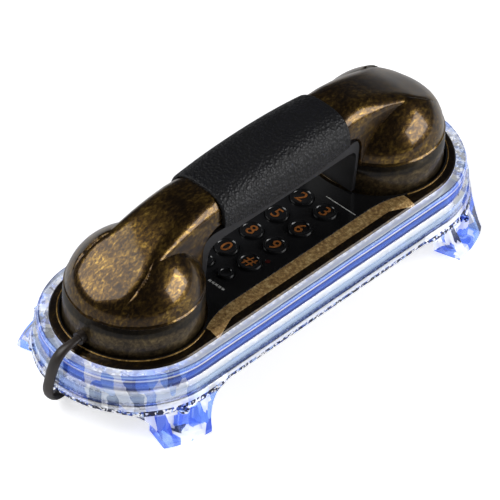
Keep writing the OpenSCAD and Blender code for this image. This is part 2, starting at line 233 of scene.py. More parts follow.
# %% Cord route
lead_route = [
    (0, -99.3, 35.6), (0, -102.5, 35.4), (-0.6, -106.5, 33.9), (-1.2, -109.3, 30.4),
    (-2.2, -110.4, 25), (-3.2, -110.6, 19.5), (-4.2, -110.4, 14), (-5.4, -108.2, 9),
    (-7, -103.6, 4.6), (-9, -97, 2.1), (-12, -86, 1.65), (-17, -74, 1.6), (-24, -62, 1.6),
    (-33, -50, 1.6), (-42, -38, 1.6), (-50, -29.5, 1.8), (-56, -21.5, 2.8), (-58, -14.6, 3.85)
]
tail_route = [
    (-50, 112.6, 3.85), (-46.8, 116.4, 6.0), (-40.5, 118, 10), (-34, 116, 15),
    (-29.6, 112.6, 18.6), (-26.9, 109, 19.9), (-25.2, 106.4, 20)
]


def curve_through(route, steps):
    points = [Vector(p) for p in route]
    points = [points[0] * 2 - points[1]] + points + [points[-1] * 2 - points[-2]]
    line = []
    for a, b, c, d in zip(points, points[1:], points[2:], points[3:]):
        for i in range(steps):
            t = i / steps
            line.append(0.5 * (2 * b + (c - a) * t + (2 * a - 5 * b + 4 * c - d) * t ** 2
                               + (3 * b - a - 3 * c + d) * t ** 3))
    return line + [points[-2]]


coil_turns = 23
coil_steps = 18
coil_x, coil_z, coil_r = -54, 6.15, 4.6                  # its axis and radius, mm
coil_start, coil_end = -9, 107
ease = 6                                               # steps in which the cord turns into the coil


def coil_point(step, y):
    angle = 2 * pi * step / coil_steps - pi / 2
    return Vector((coil_x + coil_r * cos(angle), y, coil_z + coil_r * sin(angle)))


last_step = coil_turns * coil_steps
easing = [(j - j * j / (2 * ease), 0.28 * j + 0.11 * j * j) for j in range(1, ease + 1)]
coil = [coil_point(-back, coil_start - y) for back, y in reversed(easing)]
coil += [coil_point(i, coil_start + (coil_end - coil_start) * i / last_step)
         for i in range(last_step + 1)]
coil += [coil_point(last_step + ahead, coil_end + y) for ahead, y in easing]
lead, tail = curve_through(lead_route, 4), curve_through(tail_route, 4)
cord_line = lead[:-1] + coil + tail[1:]
# The ribbon lies flat on the coil's cylinder, and level elsewhere
wide = [Vector((0.75, 0, 0.66)).lerp(Vector((1, 0, 0)), min(1, i / 14))
        for i in range(len(lead) - 1)]
for i, point in enumerate(coil):
    heading = coil[min(i + 1, len(coil) - 1)] - coil[max(i - 1, 0)]
    wide.append(Vector((point.x - coil_x, 0, point.z - coil_z)).cross(heading).normalized())
wide += [Vector((1, 0.2, 0))] * (len(tail) - 1)
for _ in range(16):
    wide = [(wide[max(i - 1, 0)] + wide[i] + wide[min(i + 1, len(wide) - 1)]).normalized()
            for i in range(len(wide))]

# %% Cord mesh
def ribbon_ring(i, share):
    here = cord_line[i]
    along = (cord_line[min(i + 1, len(cord_line) - 1)] - cord_line[max(i - 1, 0)]).normalized()
    across = (wide[i] - along * wide[i].dot(along)).normalized()
    through = along.cross(across)
    a = 2 * pi * share
    return (here + across * 2.4 * cos(a) + through * 1.5 * sin(a)) * MM


bm = bmesh.new()
loft(bm, range(len(cord_line)), 12, ribbon_ring)
cord = make_piece("coiled_cord", bm, soft_pvc, None,
                  ["cord_lead", "curly_cord", "cord_tail"], sharp=60)
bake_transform(cord)

# %% [markdown]
# ## Floor and light
# A lacquered shape is drawn by what it reflects. Two large soft boxes, one behind to the right
# and one in front to the left, give the long highlights. The floor is a light table, as small
# glossy goods are shown on: it glows, so shadows stay faint and the clear base fills with light.
# Where the lacquer mirrors it, the glow is held back. The dim room keeps the tops deep.

# %% Floor and light
bm = bmesh.new()
bmesh.ops.create_grid(bm, x_segments=2, y_segments=2, size=4.0)
floor_mesh = bpy.data.meshes.new("floor")
bm.to_mesh(floor_mesh)
bm.free()
floor = bpy.data.objects.new("floor", floor_mesh)
bpy.context.scene.collection.objects.link(floor)
paper = new_material("white_paper_floor")
paper_spot = add_node(paper, "TexCoord").outputs["Object"]
paper_tone = add_node(paper, "TexNoise", {"Vector": paper_spot, "Scale": 3.0})
paper_colour = add_node(paper, "ValToRGB", {"Fac": paper_tone.outputs["Fac"]},
                        stops=[(0.0, "#f4f4f4"), (1.0, "#fafafa")])
mirrored = add_node(paper, "LightPath").outputs["Is Glossy Ray"]
glow = add_node(paper, "MapRange", {"Value": mirrored, "To Min": 0.66, "To Max": 0.0})
surface(paper, Base_Color=paper_colour.outputs[0], Roughness=0.9, Emission_Strength=glow.outputs[0],
        Emission_Color=hex_colour("#ffffff"))
paper.cycles.emission_sampling = "NONE"
floor_mesh.materials.append(paper)

world = bpy.data.worlds.new("studio")
world.use_nodes = True
bpy.context.scene.world = world
world.node_tree.nodes.clear()
room = add_node(world, "Background", {"Color": hex_colour("#eef2ff"), "Strength": 0.07})
add_node(world, "OutputWorld", {"Surface": room.outputs[0]})


def soft_box(name, towards, width, height, power, away=1.1):
    light = bpy.data.lights.new(name, "AREA")
    light.shape = "RECTANGLE"
    light.size, light.size_y, light.energy = width, height, power
    lamp = bpy.data.objects.new(name, light)
    bpy.context.scene.collection.objects.link(lamp)
    towards = Vector(towards).normalized()
    lamp.location = target + towards * away
    lamp.rotation_euler = towards.to_track_quat("Z", "Y").to_euler()


soft_box("window_box", (0.76, 0.54, 0.36), 0.8, 0.5, 9.5)
soft_box("front_box", (-0.50, -0.52, 0.66), 0.85, 0.75, 9.0)
print("light ready")

# %% [markdown]
# ## Antique bronze lacquer
# The shell is moulded plastic, sprayed dark brown, dabbed with gold and sealed under clear
# lacquer. The gold is a mottle about a millimetre across that only shows where light is
# mirrored, so it is metallic; the clear coat above it keeps the edges of the reflections crisp.

# %% Bronze lacquer
def bronze_lacquer(name, shadow, body, gold, gleam, roughness=0.34, metal=0.85, coat=0.3):
    paint = new_material(name)
    spot = add_node(paint, "TexCoord").outputs["Object"]
    drawn = add_node(paint, "Mapping", {"Vector": spot, "Rotation": (0.5, 0.3, 0.2),
                                        "Scale": (1.0, 0.5, 0.7)})
    # 1.1 mm dabs, drawn out by the brush, over clouds of about 10 mm
    dabs = add_node(paint, "TexNoise", {"Vector": drawn.outputs[0], "Scale": 900.0, "Detail": 5.0,
                                        "Roughness": 0.62, "Distortion": 0.5})
    clouds = add_node(paint, "TexNoise", {"Vector": spot, "Scale": 95.0, "Detail": 3.0})
    faint = add_node(paint, "Math", {0: clouds.outputs["Fac"], 1: 0.35}, operation="MULTIPLY")
    half = add_node(paint, "Math", {0: dabs.outputs["Fac"], 1: 0.65, 2: faint.outputs[0]},
                    operation="MULTIPLY_ADD")
    colour = add_node(paint, "ValToRGB", {"Fac": half.outputs[0]},
                      stops=[(0.36, shadow), (0.47, body), (0.56, gold), (0.68, gleam)])
    bump = add_node(paint, "Bump", {"Height": dabs.outputs["Fac"], "Strength": 0.07,
                                    "Distance": 0.0002})
    surface(paint, Base_Color=colour.outputs[0], Metallic=metal, Roughness=roughness,
            Coat_Weight=coat, Coat_Roughness=0.07, Normal=bump.outputs[0])
    return paint, colour


dark_bronze, _ = bronze_lacquer("dark_bronze_lacquer", "#24190d", "#3a2912", "#5e471e", "#9a7c38",
                               roughness=0.26)
cup_bronze, cup_colour = bronze_lacquer("cup_bronze_lacquer", "#2c2418", "#443826", "#5a4c32",
                                        "#786642", roughness=0.4)
# Painted dark reflection: the colour is darkened in a band just under the seam, above 41.8 mm
cup_spot = add_node(cup_bronze, "TexCoord").outputs["Object"]
band_z = add_node(cup_bronze, "SeparateXYZ", {0: cup_spot}).outputs[2]
dark_reflection_band = add_node(cup_bronze, "MapRange", {"Value": band_z, "From Min": 0.0405, "From Max": 0.0418,
                                         "To Min": 1.0, "To Max": 0.22})
dark_reflection_mix = add_node(cup_bronze, "Mix", {0: 1.0, 6: cup_colour.outputs[0], 7: dark_reflection_band.outputs[0]},
                  data_type="RGBA", blend_type="MULTIPLY")
shader = next(n for n in cup_bronze.node_tree.nodes if n.type == "BSDF_PRINCIPLED")
cup_bronze.node_tree.links.new(dark_reflection_mix.outputs[2], shader.inputs["Base Color"])
print(dark_bronze.name, cup_bronze.name)

# %% [markdown]
# ## Handset shell
# The casting is an arch standing on two domes. The arch is lofted from sections that turn from
# upright in the handle to level at the seam: each section is a rounded rectangle between a point
# on the top line and a point on the inner line. Its top corners have a radius of about 8 mm in
# the handle. They tighten towards the crease and open out at the feet, where the arch runs into
# the round of the cup. The domes are spun, and the arch passes through them, which leaves the
# crease that the real moulding has.

# %% Arch sections
crown_z, seam_z, flat_y, foot_y = 74.6, 45.6, 44.0, 96.3
half_width, leg_y, under_z, corner_r = 13.0, 44.5, 62.0, 8.0
dome_y = 69                                            # the domes' axes, each way from the middle


def crown(y):
    t = min(1, max(0, y - flat_y) / (foot_y - flat_y))
    return seam_z + (crown_z - seam_z) * (1 - t ** 1.4) ** (1 / 1.4)


def inner(share):
    bend = min(1, share / 0.5) * pi / 2
    drop = max(0, share - 0.5) / 0.5 * (under_z - corner_r - seam_z)
    return (leg_y - corner_r + corner_r * sin(bend),
            under_z - corner_r + corner_r * cos(bend) - drop)


arch = [(y, crown_z, y, under_z) for y in (0, 12, 24, 32)]
top_ys = [36.5, 39, 41.5, 44]
top_ys += [flat_y + (foot_y - flat_y) * sin(radians(a)) for a in range(5, 91, 5)]
for i, y in enumerate(top_ys):
    arch.append((y, crown(y), *inner(i / (len(top_ys) - 1))))
arch = [(-a, b, -c, d) for a, b, c, d in reversed(arch[1:])] + arch


def rounded(share, half, depth, low_r, high_r):
    """A point on a rounded rectangle, share of the way round, as across and up"""
    corner, step = divmod(round(share * 96), 24)
    a = (corner + min(1, step / 11)) * pi / 2
    r = high_r if corner < 2 else low_r
    # 12 points round each corner, then 12 along the straight to the next
    here = Vector((half - r if corner in (0, 3) else r - half, depth - r if corner < 2 else r))
    here += Vector((cos(a), sin(a))) * r
    if step > 11:
        ahead = (corner + 1) % 4
        r = high_r if ahead < 2 else low_r
        there = Vector((half - r if ahead in (0, 3) else r - half, depth - r if ahead < 2 else r))
        there += Vector((cos(a), sin(a))) * r
        here = here.lerp(there, (step - 11) / 13)
    return here


def dome_reach(z):
    """The dome's radius at a height"""
    return 26.8 * max(0, 1 - min(1, max(0, z - 45.2) / 23.5) ** 1.8) ** (1 / 1.8)


def spread(top_z):
    """How far the foot has opened out: 0 in the handle, 1 at the seam"""
    return max(0, min(1, (67 - top_z) / (67 - seam_z)))


def top_corner(top_z):
    """Corner radius: 8.4 mm at the grip, 2.4 mm at the crease, opening out again to the seam"""
    at_grip = 6.0 * max(0, min(1, (top_z - 62.5) / 11.5))
    return 2.4 + at_grip + 10.4 * max(0, (62 - top_z) / 16.4) ** 1.4


def arch_ring(station, share):
    top_y, top_z, low_y, low_z = station
    depth = sqrt((top_y - low_y) ** 2 + (top_z - low_z) ** 2)
    foot = spread(top_z)
    x, v = rounded(share, half_width, depth, 1.2, top_corner(top_z))
    up_share = v / depth
    camber = (0.2 + 1.0 * sin(pi * foot)) * (1 - (x / half_width) ** 2) * max(0, up_share) ** 6
    up_share += camber / depth
    if abs(top_y) < 33:                                # under the leather
        x, up_share = x * 0.95, up_share * (1 - 1.2 / depth)
    x *= 1 + 0.55 * foot * up_share ** 3
    y, z = low_y + (top_y - low_y) * up_share, low_z + (top_z - low_z) * up_share
    # Below the crease the foot turns from flat to the round of the dome, 0.12 mm proud of it
    beyond, reach = abs(y) - dome_y, dome_reach(z) + 0.12
    if up_share > 0.6 and beyond > 0 and z < 62:
        pull = min(1, reach / sqrt(x * x + beyond * beyond))
        x, beyond = x * pull, beyond * pull
        fade = min(1, (62 - z) / 11)
        fade *= fade * (3 - 2 * fade) * min(1, (up_share - 0.6) / 0.3)
        beyond += (sqrt(max(0, reach * reach - x * x)) - beyond) * fade
        y = (dome_y + beyond) * (1 if y > 0 else -1)
    return Vector((x, y, z)) * MM


bm = bmesh.new()
loft(bm, arch, 96, arch_ring)
arch_points = set(bm.verts)
print("arch stations", len(arch))

# %% Domes and rolled lip
dome = [(0, seam_z), (26.7, seam_z), (27.15, seam_z + 0.15), (27.3, seam_z + 0.5),
        (27.15, seam_z + 0.85), (26.85, seam_z + 1.05)]
dome += [(26.8 * cos(radians(a)) ** 1.111, 45.2 + 23.5 * sin(radians(a)) ** 1.111)
         for a in range(6, 90, 2)] + [(0, 68.7)]
for y in (-dome_y, dome_y):
    turned(bm, [(r * MM, z * MM) for r, z in dome], 0, y * MM, 144)
# The dome's crown would stand through the arch, so it is pressed down under it
for v in set(bm.verts) - arch_points:
    x, y, z = v.co / MM
    top = crown(abs(y)) - 0.4
    covered = half_width * (1 + 0.55 * spread(top)) - 0.8 - 0.3 * (top_corner(top) - 2.4)
    if abs(y) > 60 and abs(x) < covered and z > top:
        v.co.z = max(seam_z, top) * MM
make_piece("handset_casting", bm, dark_bronze, "handset", ["handset_shell"])

# %% [markdown]
# ## Copies of machined parts
# Many CAD parts already have the right shape and only lack the small radius that every moulded
# edge has. A copy is merged, its flat faces are joined, and a Bevel modifier rounds the edges.

# %% Rounded copies
def rounded_copy(node, name, material, body, edge, segments=2, change=None):
    bm = bmesh.new()
    bm.from_mesh(frame["nodes"][node].data)
    bmesh.ops.remove_doubles(bm, verts=bm.verts, dist=2e-6)
    bmesh.ops.dissolve_limit(bm, angle_limit=radians(0.6), verts=bm.verts, edges=bm.edges)
    if change:
        change(bm)
    piece = make_piece(name, bm, material, body, [node], sharp=32)
    bevel = piece.modifiers.new("edge", "BEVEL")
    bevel.width, bevel.segments, bevel.limit_method = edge * MM, segments, "ANGLE"
    bevel.angle_limit, bevel.harden_normals = radians(32), True
    bevel.use_clamp_overlap = True
    return piece


def lean_in(bm):
    """Turns the cup's top 3 mm inwards, towards the groove under the shell"""
    for height in (0.0421, 0.0436):
        bmesh.ops.bisect_plane(bm, geom=bm.verts[:] + bm.edges[:] + bm.faces[:], dist=1e-6,
                               plane_co=(0, 0, height), plane_no=(0, 0, 1))
    for v in bm.verts:
        side = -0.069 if v.co.y < 0 else 0.069
        away = Vector((v.co.x, v.co.y - side))
        if away.length > 0.0271 and v.co.z > 0.0422:
            away *= 1 - 0.048 * min(1, (v.co.z - 0.0421) / 0.003)
            v.co.x, v.co.y = away.x, side + away.y


for cup in ("mouthpiece_cup", "earpiece_cup"):
    rounded_copy(cup, cup + "_shell", cup_bronze, "handset", 0.35, 2, lean_in)

# %% [markdown]
# ## Base cover
# The cover has the same lacquer, but along the waist the flat beside the keys is a light,
# non-metallic gold: gilding with a painted reflection on it, so it stays bright. Beyond its edge
# the dark cover colour is painted shade for a long hollow with pointed ends, which the mesh
# doesn't have. The edge follows from two distances: how far out a point is, and how far along.

# %% Gilded cover with painted reflection and painted shade
cover_bronze, cover_colour = bronze_lacquer("bronze_cover_gilt_painted_reflection", "#17100a", "#21170d", "#33260f",
                                            "#5a4420", roughness=0.36)
tree = cover_bronze.node_tree
cover_spot = add_node(cover_bronze, "TexCoord").outputs["Object"]
place = add_node(cover_bronze, "SeparateXYZ", {0: cover_spot})
out = add_node(cover_bronze, "Math", {0: place.outputs[0]}, operation="ABSOLUTE").outputs[0]
along = add_node(cover_bronze, "Math", {0: place.outputs[1]}, operation="ABSOLUTE").outputs[0]
past = add_node(cover_bronze, "Math", {0: along, 1: -0.045}, operation="ADD",
                use_clamp=True).outputs[0]
# Painted shade: beyond this edge the dark cover colour stands for a hollow the mesh doesn't have
painted_shade_edge = add_node(cover_bronze, "Math", {0: past, 1: 0.36, 2: 0.0292},
                       operation="MULTIPLY_ADD").outputs[0]
gilt_reflection_mask = add_node(cover_bronze, "Math", {0: out, 1: painted_shade_edge}, operation="LESS_THAN").outputs[0]
waist = add_node(cover_bronze, "Math", {0: along, 1: 0.0565}, operation="LESS_THAN").outputs[0]
gilt_reflection_mask = add_node(cover_bronze, "Math", {0: gilt_reflection_mask, 1: waist}, operation="MULTIPLY").outputs[0]
gilt_reflection_noise = add_node(cover_bronze, "TexNoise", {"Vector": cover_spot, "Scale": 800.0,
                                                 "Detail": 5.0, "Roughness": 0.65})
gilt_reflection_colour = add_node(cover_bronze, "ValToRGB", {"Fac": gilt_reflection_noise.outputs["Fac"]},
                stops=[(0.34, "#8c6840"), (0.45, "#b08a58"), (0.54, "#d0a96c"), (0.66, "#f8dc9c")])
cover_mix = add_node(cover_bronze, "Mix", {0: gilt_reflection_mask, 6: cover_colour.outputs[0],
                                           7: gilt_reflection_colour.outputs[0]}, data_type="RGBA")
shader = next(n for n in tree.nodes if n.type == "BSDF_PRINCIPLED")
tree.links.new(cover_mix.outputs[2], shader.inputs["Base Color"])
# No metal in the band, so its painted reflection stays bright under any light
metal = add_node(cover_bronze, "MapRange", {"Value": gilt_reflection_mask, "To Min": 0.8, "To Max": 0.0})
tree.links.new(metal.outputs[0], shader.inputs["Metallic"])
rounded_copy("base_cover", "base_cover_casting", cover_bronze, "root", 0.25)

# %% [markdown]
# ## Bright lips
# A thin gold line round the lip of each well is a painted highlight. It is a half-millimetre
# bead of bright gold lacquer swept round the open part of the circle.

# %% Lip beads
lip_highlight_gold, _ = bronze_lacquer("painted_lip_highlight", "#5c4420", "#8a6a34", "#b8924c", "#e6c678",
                                metal=0.5)


def bead_ring(station, share):
    side, angle = station
    r = 29.35 + 0.28 * cos(2 * pi * share)
    return Vector((r * cos(angle), side * (dome_y + r * sin(angle)),
                   32.05 + 0.28 * sin(2 * pi * share))) * MM


bm = bmesh.new()
for side in (-1, 1):
    loft(bm, [(side, radians(-22 + 224 * i / 72)) for i in range(73)], 8, bead_ring)
make_piece("well_lips", bm, lip_highlight_gold, "root")

# %% [markdown]
# ## Black plastic
# The key panel and the keys are glossy black ABS with a hint of haze; the strip under the handle
# is the same plastic with a satin texture. Fine scuffs change the gloss rather than the colour.

# %% Black plastic
def black_abs(name, tones, roughness, texture):
    plastic = new_material(name)
    spot = add_node(plastic, "TexCoord").outputs["Object"]
    haze = add_node(plastic, "TexNoise", {"Vector": spot, "Scale": 60.0,
                                          "Detail": 4.0}).outputs["Fac"]
    colour = add_node(plastic, "ValToRGB", {"Fac": haze}, stops=[(0.3, tones[0]), (0.7, tones[1])])
    gloss = add_node(plastic, "MapRange", {"Value": haze, "To Min": roughness - 0.06,
                                           "To Max": roughness + 0.06})
    fine = add_node(plastic, "TexNoise", {"Vector": spot, "Scale": 1800.0,
                                          "Detail": 2.0}).outputs["Fac"]
    bump = add_node(plastic, "Bump", {"Height": fine, "Strength": texture, "Distance": 0.0001})
    return surface(plastic, Base_Color=colour.outputs[0], Roughness=gloss.outputs[0], IOR=1.53,
                   Normal=bump.outputs[0])


gloss_abs = black_abs("black_abs_gloss", ("#121213", "#1b1b1c"), 0.2, 0.05)
satin_abs = black_abs("black_abs_satin", ("#0c0c0f", "#141418"), 0.42, 0.3)
rounded_copy("keypad_panel", "keypad_panel_moulding", gloss_abs, "root", 0.15)


def flush_with_grip(bm):
    """Widens the strip under the leather until its sides stand flush with it"""
    for v in bm.verts:
        if v.co.z > 0.05:
            v.co.x *= 1 + 0.24 * max(0, min(1, (0.046 - abs(v.co.y)) / 0.009))


rounded_copy("handle_underside", "handle_strip", satin_abs, "handset", 0.6, 3,
             flush_with_grip)

# %% [markdown]
# ## Keys and their digits
# Each key is a shallow dish with a raised rim. The digits are printed in orange-bronze ink, so
# they are thin sheets of text lying in the dish, made a mesh before they are moved into place.

# %% Ink and keys
ink = new_material("orange_bronze_ink")
ink_spot = add_node(ink, "TexCoord").outputs["Object"]
ink_noise = add_node(ink, "TexNoise", {"Vector": ink_spot, "Scale": 1500.0,
                                       "Detail": 3.0}).outputs["Fac"]
ink_colour = add_node(ink, "ValToRGB", {"Fac": ink_noise},
                      stops=[(0.3, "#70401c"), (0.7, "#b87236")])
surface(ink, Base_Color=ink_colour.outputs[0], Metallic=0.2, Roughness=0.4)


def printed(text, name, size, centre, material, body):
    letters = bpy.data.curves.new(name, "FONT")
    letters.body, letters.size, letters.extrude = text, size * MM, 0.02 * MM
    letters.align_x, letters.align_y, letters.offset = "CENTER", "CENTER", 0.06 * MM
    holder = bpy.data.objects.new(name + "_text", letters)
    bpy.context.scene.collection.objects.link(holder)
    bpy.context.view_layer.update()
    graph = bpy.context.evaluated_depsgraph_get()
    shape = bpy.data.meshes.new_from_object(holder.evaluated_get(graph))
    bpy.data.objects.remove(holder)
    bm = bmesh.new()
    bm.from_mesh(shape)
    bmesh.ops.remove_doubles(bm, verts=bm.verts, dist=1e-7)
    xs, ys = [v.co.x for v in bm.verts], [v.co.y for v in bm.verts]
    middle = Vector(((min(xs) + max(xs)) / 2, (min(ys) + max(ys)) / 2, 0))
    bmesh.ops.translate(bm, verts=bm.verts, vec=centre - middle)
    return make_piece(name, bm, material, body)


key_digits = {"key_" + digit: digit for digit in "123456789"}
key_digits |= {"key_star": "*", "key_0": "0", "key_hash": "#"}
for node in list(key_digits) + ["redial_button", "flash_button", "mute_button"]:
    low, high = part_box(node)
    middle = (low + high) / 2
    wide_r = (high.x - low.x) / 2 - 0.001          # the skirt under the panel is 1 mm wider
    outline = [(0, low.z), (wide_r + 0.001, low.z), (wide_r + 0.001, low.z + 0.001),
               (wide_r, low.z + 0.001)]
    outline += [(wide_r - 0.0003 * (1 - sin(a)), high.z - 0.0003 * (1 - cos(a)))
                for a in (pi / 2, pi / 4, 0)]
    outline += [(wide_r - 0.0007, high.z), (wide_r - 0.0009, high.z - 0.0001),
                (wide_r - 0.0012, high.z - 0.00045), (wide_r - 0.002, high.z - 0.0006),
                (0, high.z - 0.00075)]
    bm = bmesh.new()
    turned(bm, outline, middle.x, middle.y, 40)
    make_piece(node + "_cap", bm, gloss_abs, node, [node])
    if node in key_digits:
        dish = Vector((middle.x, middle.y, high.z - 0.00047))
        printed(key_digits[node], node + "_digit", 7.8, dish, ink, node)

# %% [markdown]
# ## Printed marks
# A thin white rule crosses the panel above the keys, and a row of plain dashes stands beside
# the redial button where a label would be. Both are sheets of ink a few hundredths thick.

# %% White ink
white_ink = new_material("white_pad_print")
pad_spot = add_node(white_ink, "TexCoord").outputs["Object"]
pad_noise = add_node(white_ink, "TexNoise", {"Vector": pad_spot, "Scale": 1600.0}).outputs["Fac"]
pad_colour = add_node(white_ink, "ValToRGB", {"Fac": pad_noise},
                      stops=[(0.35, "#8f8f8c"), (0.6, "#c8c8c4")])
surface(white_ink, Base_Color=pad_colour.outputs[0], Roughness=0.55)
panel_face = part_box("keypad_panel")[1].z
bm = bmesh.new()
marks = [(13.9, 33.5, 15.6, 0.45)] + [(8.9 + 1.75 * i, -36.0, 1.25, 1.1) for i in range(5)]
for x, y, length, width in marks:
    sheet = bmesh.ops.create_grid(bm, x_segments=2, y_segments=2, size=0.5)["verts"]
    bmesh.ops.scale(bm, verts=sheet, vec=(length * MM, width * MM, 1))
    bmesh.ops.translate(bm, verts=sheet, vec=(x * MM, y * MM, panel_face + 0.03 * MM))
bmesh.ops.solidify(bm, geom=bm.faces[:], thickness=0.04 * MM)
make_piece("panel_printing", bm, white_ink, "root")

# %% [markdown]
# ## Leather grip
# A strip of black leather is wrapped over the handle and glued, fuller in the middle, with its
# ends rolled under. Pebbled leather is a cell pattern: shiny raised grains with dull creases
# between them. The real grain is 0.8 mm; it is drawn at 1.2 mm so that it shows.

# %% Leather
leather = new_material("pebbled_black_leather")
hide = add_node(leather, "TexCoord").outputs["Object"]
wander = add_node(leather, "TexNoise", {"Vector": hide, "Scale": 420.0, "Detail": 2.0})
shifted = add_node(leather, "Mix", {0: 0.0016, 4: hide, 5: wander.outputs["Color"]},
                   data_type="VECTOR")
pebbles = add_node(leather, "TexVoronoi", {"Vector": shifted.outputs[1], "Scale": 830.0})
grain = add_node(leather, "MapRange", {"Value": pebbles.outputs["Distance"], "From Min": 0.75,
                                       "From Max": 0.15})
tone = add_node(leather, "TexNoise", {"Vector": hide, "Scale": 70.0, "Detail": 4.0}).outputs["Fac"]
hide_colour = add_node(leather, "ValToRGB", {"Fac": grain.outputs[0]},
                       stops=[(0.1, "#060608"), (0.8, "#17171b")])
worn = add_node(leather, "ValToRGB", {"Fac": tone}, stops=[(0.3, "#b8b8c0"), (0.7, "#ffffff")])
hide_tone = add_node(leather, "Mix", {0: 1.0, 6: hide_colour.outputs[0], 7: worn.outputs[0]},
                     data_type="RGBA", blend_type="MULTIPLY")
polish = add_node(leather, "MapRange", {"Value": grain.outputs[0], "To Min": 0.66, "To Max": 0.38})
hide_bump = add_node(leather, "Bump", {"Height": grain.outputs[0], "Strength": 0.8,
                                       "Distance": 0.0003})
surface(leather, Base_Color=hide_tone.outputs[2], Roughness=polish.outputs[0], IOR=1.4,
        Normal=hide_bump.outputs[0])


def grip_ring(y, share):
    """A sleeve's section: the outside for most of the way round, then back along the inside"""
    bulge = 1 - (abs(y) / 35.5) ** 2.2
    end = max(0, abs(y) - 34.5) / 1.0
    inset = 0.5 * (1 - sqrt(max(0, 1 - end * end)))
    low = 62.5 - 2.2 * bulge + inset
    top = 75.9 + 1.9 * bulge - inset
    half = 15.1 + 0.3 * bulge - inset
    a = share * 60
    if a < 40:
        bend = pi * (a / 39)
        # A full arch at the ends, squarer in the middle, with straight sides below 64 mm
        power = 0.76 - 0.08 * bulge
        side, rise = cos(bend), sin(bend)
        x = half * abs(side) ** power * (1 if side > 0 else -1)
        z = 62.0 + (top - 62.0) * rise ** power
        if a in (0, 39):
            z = low
    else:
        steps = [(-13.4, low), (-13.1, low + 0.6), (-13.1, 65), (-13.1, 66), (-12.9, 68),
                 (-12.4, 70), (-11.2, 72), (-9, 73.6), (-5, 74.4), (-1.7, 74.5)]
        i = int(round(a - 40))
        x, z = steps[i] if i < 10 else (-steps[19 - i][0], steps[19 - i][1])
    return Vector((x, y, z)) * MM


ends = [35.5, 35.45, 35.3, 35.1, 34.8, 34.5]
grip_ys = [-y for y in ends] + [-33 + 3 * i for i in range(23)] + ends[::-1]
bm = bmesh.new()
loft(bm, grip_ys, 60, grip_ring)
grip = make_piece("leather_grip_wrap", bm, leather, "handset", ["leather_grip"],
                  sharp=50)

# %% [markdown]
# ## Clear acrylic
# Cast acrylic is as clear as glass and about half as dense. The thick wall bends light along
# its length, so the eye sees long bands of white and blue, dark lines at the steps, and a
# sparkling sawn edge. Here they are drawn rather than refracted. The bands follow the profile of
# the wall: how high a point is, less how far out.

# %% Clear acrylic
acrylic = new_material("clear_acrylic_painted_light")
spot = add_node(acrylic, "TexCoord").outputs["Object"]
axes = add_node(acrylic, "SeparateXYZ", {0: spot})
long_way = add_node(acrylic, "Math", {0: axes.outputs[1]}, operation="ABSOLUTE").outputs[0]
past_end = add_node(acrylic, "Math", {0: long_way, 1: 0.069}, operation="SUBTRACT").outputs[0]
past_end = add_node(acrylic, "Math", {0: past_end, 1: 0.0}, operation="MAXIMUM").outputs[0]
sideways = add_node(acrylic, "Math", {0: axes.outputs[0]}, operation="ABSOLUTE").outputs[0]
squares = [add_node(acrylic, "Math", {0: v, 1: 2.0}, operation="POWER").outputs[0]
           for v in (sideways, past_end)]
reach = add_node(acrylic, "Math", {0: squares[0], 1: squares[1]}, operation="ADD").outputs[0]
reach = add_node(acrylic, "Math", {0: reach}, operation="SQRT").outputs[0]
profile = add_node(acrylic, "Math", {0: axes.outputs[2], 1: reach}, operation="SUBTRACT").outputs[0]
wobble = add_node(acrylic, "TexNoise", {"Vector": spot, "Scale": 35.0,
                                        "Detail": 2.0}).outputs["Fac"]
profile = add_node(acrylic, "Math", {0: wobble, 1: 0.0012, 2: profile},
                   operation="MULTIPLY_ADD").outputs[0]
bands = add_node(acrylic, "MapRange", {"Value": profile, "From Min": -0.0248, "From Max": -0.0016})
band_stops = [(0.0, "#dfe9ff"), (0.15, "#ffffff"), (0.17, "#16204a"), (0.20, "#5c6c9c"),
              (0.36, "#c4dcfa"), (0.50, "#ffffff"), (0.54, "#142468"), (0.63, "#5078dc"),
              (0.70, "#1c3090"), (0.73, "#ffffff"), (0.76, "#2f55d0"), (0.80, "#b4d0fa"),
              (0.84, "#263c88"), (0.86, "#f0f8ff"), (1.0, "#ffffff")]
band_colour = add_node(acrylic, "ValToRGB", {"Fac": bands.outputs[0]}, stops=band_stops)
# Painted refraction: shards of blue and dark, 3 to 6 mm across, stronger round the ends and in the
# feet
bearing = add_node(acrylic, "Math", {0: axes.outputs[0], 1: past_end},
                   operation="ARCTAN2").outputs[0]
arc = add_node(acrylic, "Math", {0: bearing, 1: 0.036}, operation="MULTIPLY").outputs[0]
half_height = add_node(acrylic, "Math", {0: profile, 1: 0.45}, operation="MULTIPLY").outputs[0]
unrolled = add_node(acrylic, "CombineXYZ", {0: arc, 1: half_height, 2: axes.outputs[1]})
shards = add_node(acrylic, "TexVoronoi", {"Vector": unrolled.outputs[0], "Scale": 190.0},
                  distance="CHEBYCHEV")
shard_tone = add_node(acrylic, "SeparateColor", {0: shards.outputs["Color"]}).outputs[0]
shard_colour = add_node(acrylic, "ValToRGB", {"Fac": shard_tone},
                        stops=[(0.0, "#0c1436"), (0.14, "#2f55d0"), (0.3, "#8fb4f8"),
                               (0.5, "#ffffff"), (0.8, "#5a82e8")])
shard_colour.color_ramp.interpolation = "CONSTANT"
round_end = add_node(acrylic, "MapRange", {"Value": past_end, "From Max": 0.012,
                                           "To Max": 0.42}).outputs[0]
low_down = add_node(acrylic, "MapRange", {"Value": axes.outputs[2], "From Min": 0.0145,
                                          "From Max": 0.0125, "To Max": 0.92}).outputs[0]
shard_share = add_node(acrylic, "Math", {0: round_end, 1: low_down}, operation="MAXIMUM").outputs[0]
painted_refraction = add_node(acrylic, "Mix", {0: shard_share, 6: band_colour.outputs[0],
                                   7: shard_colour.outputs[0]}, data_type="RGBA")
